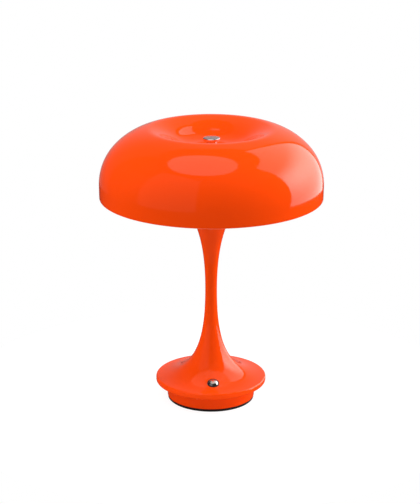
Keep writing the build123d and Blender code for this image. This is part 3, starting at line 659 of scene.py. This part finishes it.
class LAMP_OT_foot(bpy.types.Operator):
    """Turn the rubber foot pad with its grooved underside"""
    bl_idname = "lamp.foot"
    bl_label = "Make the Foot Pad"

    def execute(self, context):
        sizes, tints = context.scene.stand_sizes, context.scene.lamp_colours
        radius, top, groove = sizes.pad_radius, PAD_HIGH.z, 0.6 * MM
        outline = [(0, top), (radius - 0.25 * MM, top), (radius, top - 0.25 * MM),
                   (radius, groove), (radius - groove, 0)]
        for share in (0.85, 0.6, 0.35):
            ring = radius * share
            outline += [(ring + MM, 0), (ring + 0.9 * MM, groove), (ring + 0.1 * MM, groove),
                        (ring, 0)]
        piece = lathe("foot_cushion", outline + [(0, 0)], steps=128)
        dress(piece, "lamp", "black_rubber",
              moulded("Foot rubber", tints.rubber, roughness=0.62, grain=900, relief=2.5e-5),
              stands_for=["foot_pad"])
        return {"FINISHED"}


class LAMP_OT_button(bpy.types.Operator):
    """Turn the domed button, its bezel and its coil spring, and seat them on the flange"""
    bl_idname = "lamp.button"
    bl_label = "Make the Button"

    def execute(self, context):
        sizes, tints = context.scene.stand_sizes, context.scene.lamp_colours
        radius, rise, stand = sizes.button_radius, sizes.button_dome, sizes.button_stand
        bend = (radius ** 2 + rise ** 2) / (2 * rise)
        half = atan2(radius, bend - rise)
        dome = arc((0, stand + rise - bend), bend, pi / 2, pi / 2 - half, 18)
        skirt, pocket, shank = stand - 3.5 * MM, radius - 1.74 * MM, 1.5 * MM
        outline = dome[:-1] + [
            (radius - 0.12 * MM, stand), (radius, stand - 0.15 * MM), (radius, skirt),
            (pocket, skirt), (pocket, stand - 1.1 * MM), (shank, stand - 1.1 * MM),
            (shank, -7.4 * MM), (0, -7.4 * MM)]
        cap = seat_on_flange(lathe("button_cap", outline, steps=96))
        dress(cap, "press", "button_chrome", polished("Button chrome", tints.chrome),
              stands_for=["button"])
        bore = radius + 0.06 * MM
        collar = rounded([
            (bore, -5.1 * MM), (bore, 0.7 * MM), (bore + 1.2 * MM, 0.7 * MM),
            (bore + 1.2 * MM, -0.5 * MM), (bore + 0.72 * MM, -0.5 * MM),
            (bore + 0.72 * MM, -6.1 * MM), (1.56 * MM, -6.1 * MM), (1.56 * MM, -5.1 * MM)],
            0.3 * MM)
        ring = seat_on_flange(lathe("button_collar", collar, steps=96))
        dress(ring, "lamp", "bezel_black",
              moulded("Bezel black", (0.012, 0.010, 0.010), roughness=0.3, grain=2600,
                      relief=2e-6), stands_for=["button_bezel"])
        self.spring(sizes)
        return {"FINISHED"}

    def spring(self, sizes):
        """Wind the return spring with a Screw modifier."""
        wire, foot, top = 0.2 * MM, -4.7 * MM, -0.6 * MM
        coil = (sizes.button_radius - 1.74 * MM + 1.5 * MM) / 2 + 0.2 * MM
        bpy.ops.object.select_all(action="DESELECT")
        bpy.ops.mesh.primitive_circle_add(vertices=10, radius=wire, fill_type="NOTHING",
                                          location=(coil, 0, foot), rotation=(pi / 2, 0, 0))
        spring = bpy.context.object
        spring.name = spring.data.name = "return_spring"
        bpy.ops.object.transform_apply(location=True, rotation=True, scale=True)
        screw = spring.modifiers.new("Wind", "SCREW")
        screw.iterations, screw.steps, screw.render_steps = 4, 28, 28
        screw.screw_offset = (top - foot) / 4
        bpy.ops.object.modifier_apply(modifier=screw.name)
        bpy.ops.object.mode_set(mode="EDIT")
        bpy.ops.mesh.select_all(action="SELECT")
        bpy.ops.mesh.remove_doubles(threshold=2e-6)
        bpy.ops.mesh.select_all(action="DESELECT")
        bpy.ops.mesh.select_mode(type="EDGE")
        bpy.ops.mesh.select_non_manifold()
        bpy.ops.mesh.fill_holes(sides=0)
        bpy.ops.mesh.select_all(action="SELECT")
        bpy.ops.mesh.normals_make_consistent(inside=False)
        bpy.ops.mesh.select_mode(type="VERT")
        bpy.ops.object.mode_set(mode="OBJECT")
        bpy.ops.object.shade_smooth_by_angle(angle=radians(50))
        seat_on_flange(spring)
        dress(spring, "lamp", "spring_steel",
              polished("Spring steel", (0.50, 0.49, 0.47), roughness=0.22),
              stands_for=["button_spring"])
        height, fall = flange_at(sizes, sizes.button_ring)
        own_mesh(spring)


class LAMP_OT_finial(bpy.types.Operator):
    """Turn the flat steel finial that clamps the shade, and the washer under it"""
    bl_idname = "lamp.finial"
    bl_label = "Make the Finial"

    def execute(self, context):
        sizes, tints = context.scene.shade_sizes, context.scene.lamp_colours
        low, top, stud = FINIAL_LOW.z, FINIAL_HIGH.z, 3.06 * MM
        roof = low + 6 * MM
        head = top - sizes.finial_head
        outline = rounded([
            (0, roof), (stud, roof), (stud, low), (sizes.finial_neck, low),
            (sizes.finial_neck, head), (FINIAL_HIGH.x, head), (FINIAL_HIGH.x, top - 0.6 * MM),
            (FINIAL_HIGH.x - 0.6 * MM, top), (0, top)], 0.12 * MM, steps=3)
        piece = lathe("finial_cap", outline, steps=128, angle=28)
        dress(piece, "turning_finial", "finial_steel", turned_steel("Finial steel", tints.steel),
              stands_for=["finial"])
        radius, under = WASHER_HIGH.x, WASHER_LOW.z
        ring = rounded([(stud, under), (stud, WASHER_HIGH.z), (radius, WASHER_HIGH.z),
                        (radius, under)], 0.15 * MM, steps=3)
        washer = lathe("finial_cushion", ring, steps=96)
        dress(washer, "rising_washer", "washer_plastic",
              moulded("Washer plastic", (0.035, 0.034, 0.033), roughness=0.5),
              stands_for=["finial_washer"])
        return {"FINISHED"}


class LAMP_OT_diffuser(bpy.types.Operator):
    """Turn the opal diffuser that caps the cup under the shade"""
    bl_idname = "lamp.diffuser"
    bl_label = "Make the Diffuser"

    def execute(self, context):
        sizes, tints = context.scene.stand_sizes, context.scene.lamp_colours
        rim, top, edge = sizes.cup_height, DIFFUSER_HIGH.z, DIFFUSER_HIGH.x
        wall, seat, bore = 2 * MM, 12 * MM, 5.2 * MM
        foot = (edge - 1.5 * MM, rim + 1.5 * MM)
        lip = edge - 3.1 * MM
        crown = arc_to((seat, top), (1, 0), foot, 18)
        under = arc_to((seat, top - wall), (1, 0), (lip - wall, rim), 18)
        outline = ([(bore, top)] + crown
                   + [(edge - 0.3 * MM, rim + 1.5 * MM), (edge, rim + 1.2 * MM), (edge, rim),
                      (lip, rim), (lip, rim - 1.5 * MM), (lip - wall, rim - 1.5 * MM)]
                   + under[::-1] + [(bore, top - wall)])
        piece = lathe("diffuser_dome", outline, steps=128)
        dress(piece, "lamp", "opal", opal("Opal diffuser", tints.opal), stands_for=["diffuser"])
        return {"FINISHED"}


class LAMP_OT_inner_parts(bpy.types.Operator):
    """Give the plinth and every part inside the lamp the finish of its own material"""
    bl_idname = "lamp.inner_parts"
    bl_label = "Finish the Inner Parts"

    def execute(self, context):
        tints = context.scene.lamp_colours
        steel, white = (0.50, 0.50, 0.49), (0.78, 0.78, 0.76)
        screws = polished("Zinc plating", steel, roughness=0.24)
        boards = circuit_board("Green board", tints.board)
        sleeves = moulded("Lead sleeve", (0.02, 0.02, 0.021), roughness=0.4, relief=2e-6)
        posts = drawn_metal("Drawn post", tints.steel, roughness=0.24)
        finishes = {
            "base_pan": lacquer("Plinth lacquer", tints.lacquer),
            "base_screws": screws, "tray_screws": screws, "board_screws": screws,
            "switch_screws": screws, "led_screws": screws,
            "ballast": drawn_metal("Ballast plate", (0.16, 0.155, 0.15), 0.5, (40, 500, 40)),
            "battery_tray": moulded("Tray plastic", (0.05, 0.05, 0.052)),
            "battery_cells": wrapped_cell("Cell sleeve", tints.wrap,
                                          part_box("battery_cells")[1].x),
            "battery_contacts": drawn_metal("Nickel strip", (0.62, 0.60, 0.56), 0.28, (60, 900, 60)),
            "charge_board": boards, "switch_board": boards,
            "board_parts": moulded("Component plastic", (0.03, 0.03, 0.032), 0.38, 2200),
            "tact_switch": moulded("Switch plastic", (0.04, 0.04, 0.042), 0.4, 2200),
            "charge_port": drawn_metal("Port shell", (0.55, 0.55, 0.54), 0.24, (1400, 90, 90)),
            "port_tongue": moulded("Port tongue", (0.02, 0.02, 0.02), 0.42),
            "bezel_nut": drawn_metal("Nut brass", (0.62, 0.44, 0.16), 0.26),
            "button_clip": polished("Clip steel", (0.45, 0.44, 0.43), 0.2),
            "shade_post": posts, "post_nut": polished("Post nut steel", steel, 0.22),
            "heat_sink": drawn_metal("Sink aluminium", (0.66, 0.66, 0.67), 0.36),
            "led_board": moulded("White board", white, 0.35, 1800, 2e-6),
            "leds": moulded("LED phosphor", (0.80, 0.62, 0.10), 0.5, 3000, 4e-6),
            "diffuser_nut": polished("Knurled nut", steel, 0.24),
            "shade_carrier": drawn_metal("Carrier steel", (0.46, 0.45, 0.44), 0.34),
            "shade_gasket": moulded("Gasket rubber", tints.rubber, 0.6, 900, 2e-5),
            "stem_lead": sleeves, "battery_lead": sleeves, "switch_lead": sleeves,
        }
        for name, finish in finishes.items():
            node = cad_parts[name]
            node.data.materials.clear()
            node.data.materials.append(finish)
        return {"FINISHED"}


class LAMP_OT_stage(bpy.types.Operator):
    """Set up the pale floor, the backdrop, the light panels and the camera"""
    bl_idname = "lamp.stage"
    bl_label = "Set Up the Studio"

    def execute(self, context):
        studio = context.scene.studio
        self.ground()
        self.softbox(studio)
        self.backdrop(studio)
        self.panel("Top panel", (-0.17, -0.16, 1.60), (0, 0, radians(-25)), 1.22, 1.0,
                   studio.top_light, "ELLIPSE")
        self.panel("Fill panel", (-1.20, -1.05, 1.25), (radians(90), 0, radians(-49)), 1.9, 2.7,
                   studio.fill_light)
        washes = (
            self.panel("Sky cloth", (0, 0, 2.4), (0, 0, 0), 5.0, 5.0, studio.sky_light),
            self.panel("Right wash", (1.35, 0.36, 0.6), (0, pi / 2, radians(15)), 1.2, 1.2,
                       studio.right_wash),
            self.panel("Left wash", (-1.35, 0.36, 0.6), (0, -pi / 2, radians(-15)), 1.2, 1.2,
                       studio.left_wash))
        for wash in washes:
            wash.visible_glossy = False
        self.world(context, studio)
        self.camera(context, studio)
        return {"FINISHED"}

    def panel(self, name, place, turn, width, height, radiance, shape="RECTANGLE"):
        """An even light panel that gives its faces the radiance asked for."""
        bpy.ops.object.light_add(type="AREA", location=place, rotation=turn)
        lamp = bpy.context.object
        lamp.name = lamp.data.name = name
        lamp.data.shape, lamp.data.size, lamp.data.size_y = shape, width, height
        lamp.data.energy = radiance * pi * width * height * (pi / 4 if shape == "ELLIPSE" else 1)
        lamp.visible_camera = False
        return lamp

    def screen(self, name, reach, heights, start, sweep, material):
        """A screen curved round the lamp, from one compass angle clockwise through a sweep."""
        screen = begin(name)
        low, high = heights
        bpy.ops.transform.translate(value=(reach * cos(start), reach * sin(start), low))
        bpy.ops.mesh.extrude_vertices_move(TRANSFORM_OT_translate={"value": (0, 0, high - low)})
        bpy.ops.mesh.select_all(action="SELECT")
        bpy.ops.mesh.spin(steps=24, angle=sweep, center=(0, 0, 0), axis=(0, 0, 1))
        bpy.ops.object.mode_set(mode="OBJECT")
        screen.data.materials.append(material)
        screen.visible_camera = False

    def softbox(self, studio):
        """The softbox on the right, hottest low down near its front edge."""
        hot_y, hot_z, hot_radius, widening = 0.1, 0.82, 0.85, 0.6
        dim, dimmer, changeover = (0.45, 0.45, 0.45), (0.26, 0.26, 0.26), 1.2
        cloth = Finish("Softbox glow")
        _, y, z = cloth.parts()
        away = (((y - hot_y) * widening) ** 2 + (z - hot_z) ** 2) ** 0.5
        base = cloth.mix(z.within(0.0, changeover), dim, dimmer)
        tone = cloth.mix(away.within(0.0, hot_radius), (1, 1, 1), base)
        cloth.node("ShaderNodeOutputMaterial", {},
                   cloth.node("ShaderNodeEmission", {}, tone, studio.side_light))
        self.screen("softbox", 1.5, (-0.15, 2.75), radians(58), radians(68), cloth.material)

    def backdrop(self, studio):
        """The backdrop: white to the camera, dimmer to the left and higher up for gloss."""
        cloth = Finish("Backdrop glow")
        camera = cloth.node("ShaderNodeLightPath", {}, out="Is Camera Ray")
        x, _, z = cloth.parts()
        towards_right, towards_top = x.within(-1.8, 0.6), z.within(0.8, 2.6)
        share = towards_right * (1 - towards_top * 0.6)
        tone = cloth.mix(share, (0.2, 0.2, 0.2), (1, 1, 1))
        seen = cloth.node("ShaderNodeEmission", {}, (1, 1, 1, 1), 1.0)
        given = cloth.node("ShaderNodeEmission", {}, tone, studio.wall_light)
        cloth.node("ShaderNodeOutputMaterial", {},
                   cloth.node("ShaderNodeMixShader", {}, camera, given, seen))
        self.screen("backdrop", 2.6, (-0.4, 4.0), radians(140), radians(78), cloth.material)

    def floor_paper(self):
        """Pale paper: white with the lamp's shadow to the camera, dim to gloss."""
        seen, lit, dimmed = 0.90, 0.16, 0.06
        paper = Finish("Floor paper")
        rays = paper.node("ShaderNodeLightPath", {}, out="Is Camera Ray")
        gloss = paper.node("ShaderNodeLightPath", {}, out="Is Glossy Ray")
        grain = paper.noise(420, detail=3)
        tone = paper.mix(grain, (0.76, 0.76, 0.76), (0.82, 0.82, 0.82))
        pale = paper.node("ShaderNodeBsdfDiffuse", {}, tone)
        dim = paper.node("ShaderNodeBsdfDiffuse", {}, (dimmed, dimmed, dimmed, 1))
        plain = paper.node("ShaderNodeMixShader", {}, gloss, pale, dim)
        glow = paper.node("ShaderNodeEmission", {}, (1, 1, 1, 1), seen)
        shadowed = paper.node("ShaderNodeBsdfDiffuse", {}, (lit, lit, lit, 1))
        both = paper.node("ShaderNodeAddShader", {}, glow, shadowed)
        paper.node("ShaderNodeOutputMaterial", {},
                   paper.node("ShaderNodeMixShader", {}, rays, plain, both))
        return paper.material

    def ground(self):
        """The floor that the lamp stands on."""
        bpy.ops.object.select_all(action="DESELECT")
        bpy.ops.mesh.primitive_circle_add(vertices=96, radius=0.3, fill_type="NGON")
        floor = bpy.context.object
        floor.name = "floor"
        floor.data.materials.append(self.floor_paper())

    def world(self, context, studio):
        """A room that is white to the camera, dark to gloss, and lights everything else."""
        sky = bpy.data.worlds.new("Studio")
        context.scene.world = sky
        sky.use_nodes = True
        nodes, links = sky.node_tree.nodes, sky.node_tree.links
        nodes.clear()
        path, out = nodes.new("ShaderNodeLightPath"), nodes.new("ShaderNodeOutputWorld")
        backgrounds = []
        for radiance in (studio.room_light, studio.room_tone, 1.0):
            backgrounds.append(nodes.new("ShaderNodeBackground"))
            backgrounds[-1].inputs["Color"].default_value = (1, 1, 1, 1)
            backgrounds[-1].inputs["Strength"].default_value = radiance
        shown = backgrounds[0]
        for ray, background in zip(("Is Glossy Ray", "Is Camera Ray"), backgrounds[1:]):
            mix = nodes.new("ShaderNodeMixShader")
            links.new(path.outputs[ray], mix.inputs[0])
            links.new(shown.outputs[0], mix.inputs[1])
            links.new(background.outputs[0], mix.inputs[2])
            shown = mix
        links.new(shown.outputs[0], out.inputs[0])

    def camera(self, context, studio):
        """The photograph's viewpoint."""
        turn = Euler((pi / 2 - studio.pitch, 0, -studio.heading)).to_quaternion()
        place = Vector((-sin(studio.heading), -cos(studio.heading), 0)) * studio.distance
        bpy.ops.object.camera_add(location=place + Vector((0, 0, studio.height)))
        camera = bpy.context.object
        camera.rotation_mode = "QUATERNION"
        camera.rotation_quaternion = turn @ Quaternion((0, 0, 1), studio.roll)
        camera.data.lens, camera.data.sensor_width = studio.lens, 36
        camera.data.sensor_fit, camera.data.shift_x = "AUTO", studio.shift
        camera.data.clip_start, camera.data.clip_end = 0.01, 50
        context.scene.camera = camera
        context.scene.view_settings.view_transform = "Standard"


OPERATORS = (LAMP_OT_shade, LAMP_OT_stand, LAMP_OT_foot, LAMP_OT_button, LAMP_OT_finial,
             LAMP_OT_diffuser, LAMP_OT_inner_parts, LAMP_OT_stage)


class LAMP_PT_panel(bpy.types.Panel):
    """The lamp's settings and pieces in the 3D view's sidebar"""
    bl_idname = "LAMP_PT_panel"
    bl_label = "Mushroom Lamp"
    bl_space_type, bl_region_type, bl_category = "VIEW_3D", "UI", "Lamp"

    def draw(self, context):
        scene = context.scene
        for group in (scene.shade_sizes, scene.stand_sizes, scene.lamp_colours, scene.studio):
            box = self.layout.box()
            for name in group.bl_rna.properties.keys():
                if name not in ("rna_type", "name"):
                    box.prop(group, name)
        for made in OPERATORS:
            self.layout.operator(made.bl_idname)


GROUPS = {"shade_sizes": ShadeSizes, "stand_sizes": StandSizes, "lamp_colours": LampColours,
          "studio": StudioSettings}


def register():
    for name, group in GROUPS.items():
        bpy.utils.register_class(group)
        setattr(bpy.types.Scene, name, PointerProperty(type=group))
    for made in (*OPERATORS, LAMP_PT_panel):
        bpy.utils.register_class(made)


def unregister():
    for made in (*OPERATORS, LAMP_PT_panel):
        bpy.utils.unregister_class(made)
    for name, group in GROUPS.items():
        delattr(bpy.types.Scene, name)
        bpy.utils.unregister_class(group)


def main():
    register()
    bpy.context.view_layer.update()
    for made in OPERATORS:
        group, name = made.bl_idname.split(".")
        getattr(getattr(bpy.ops, group), name)()


if __name__ == "__main__":
    main()
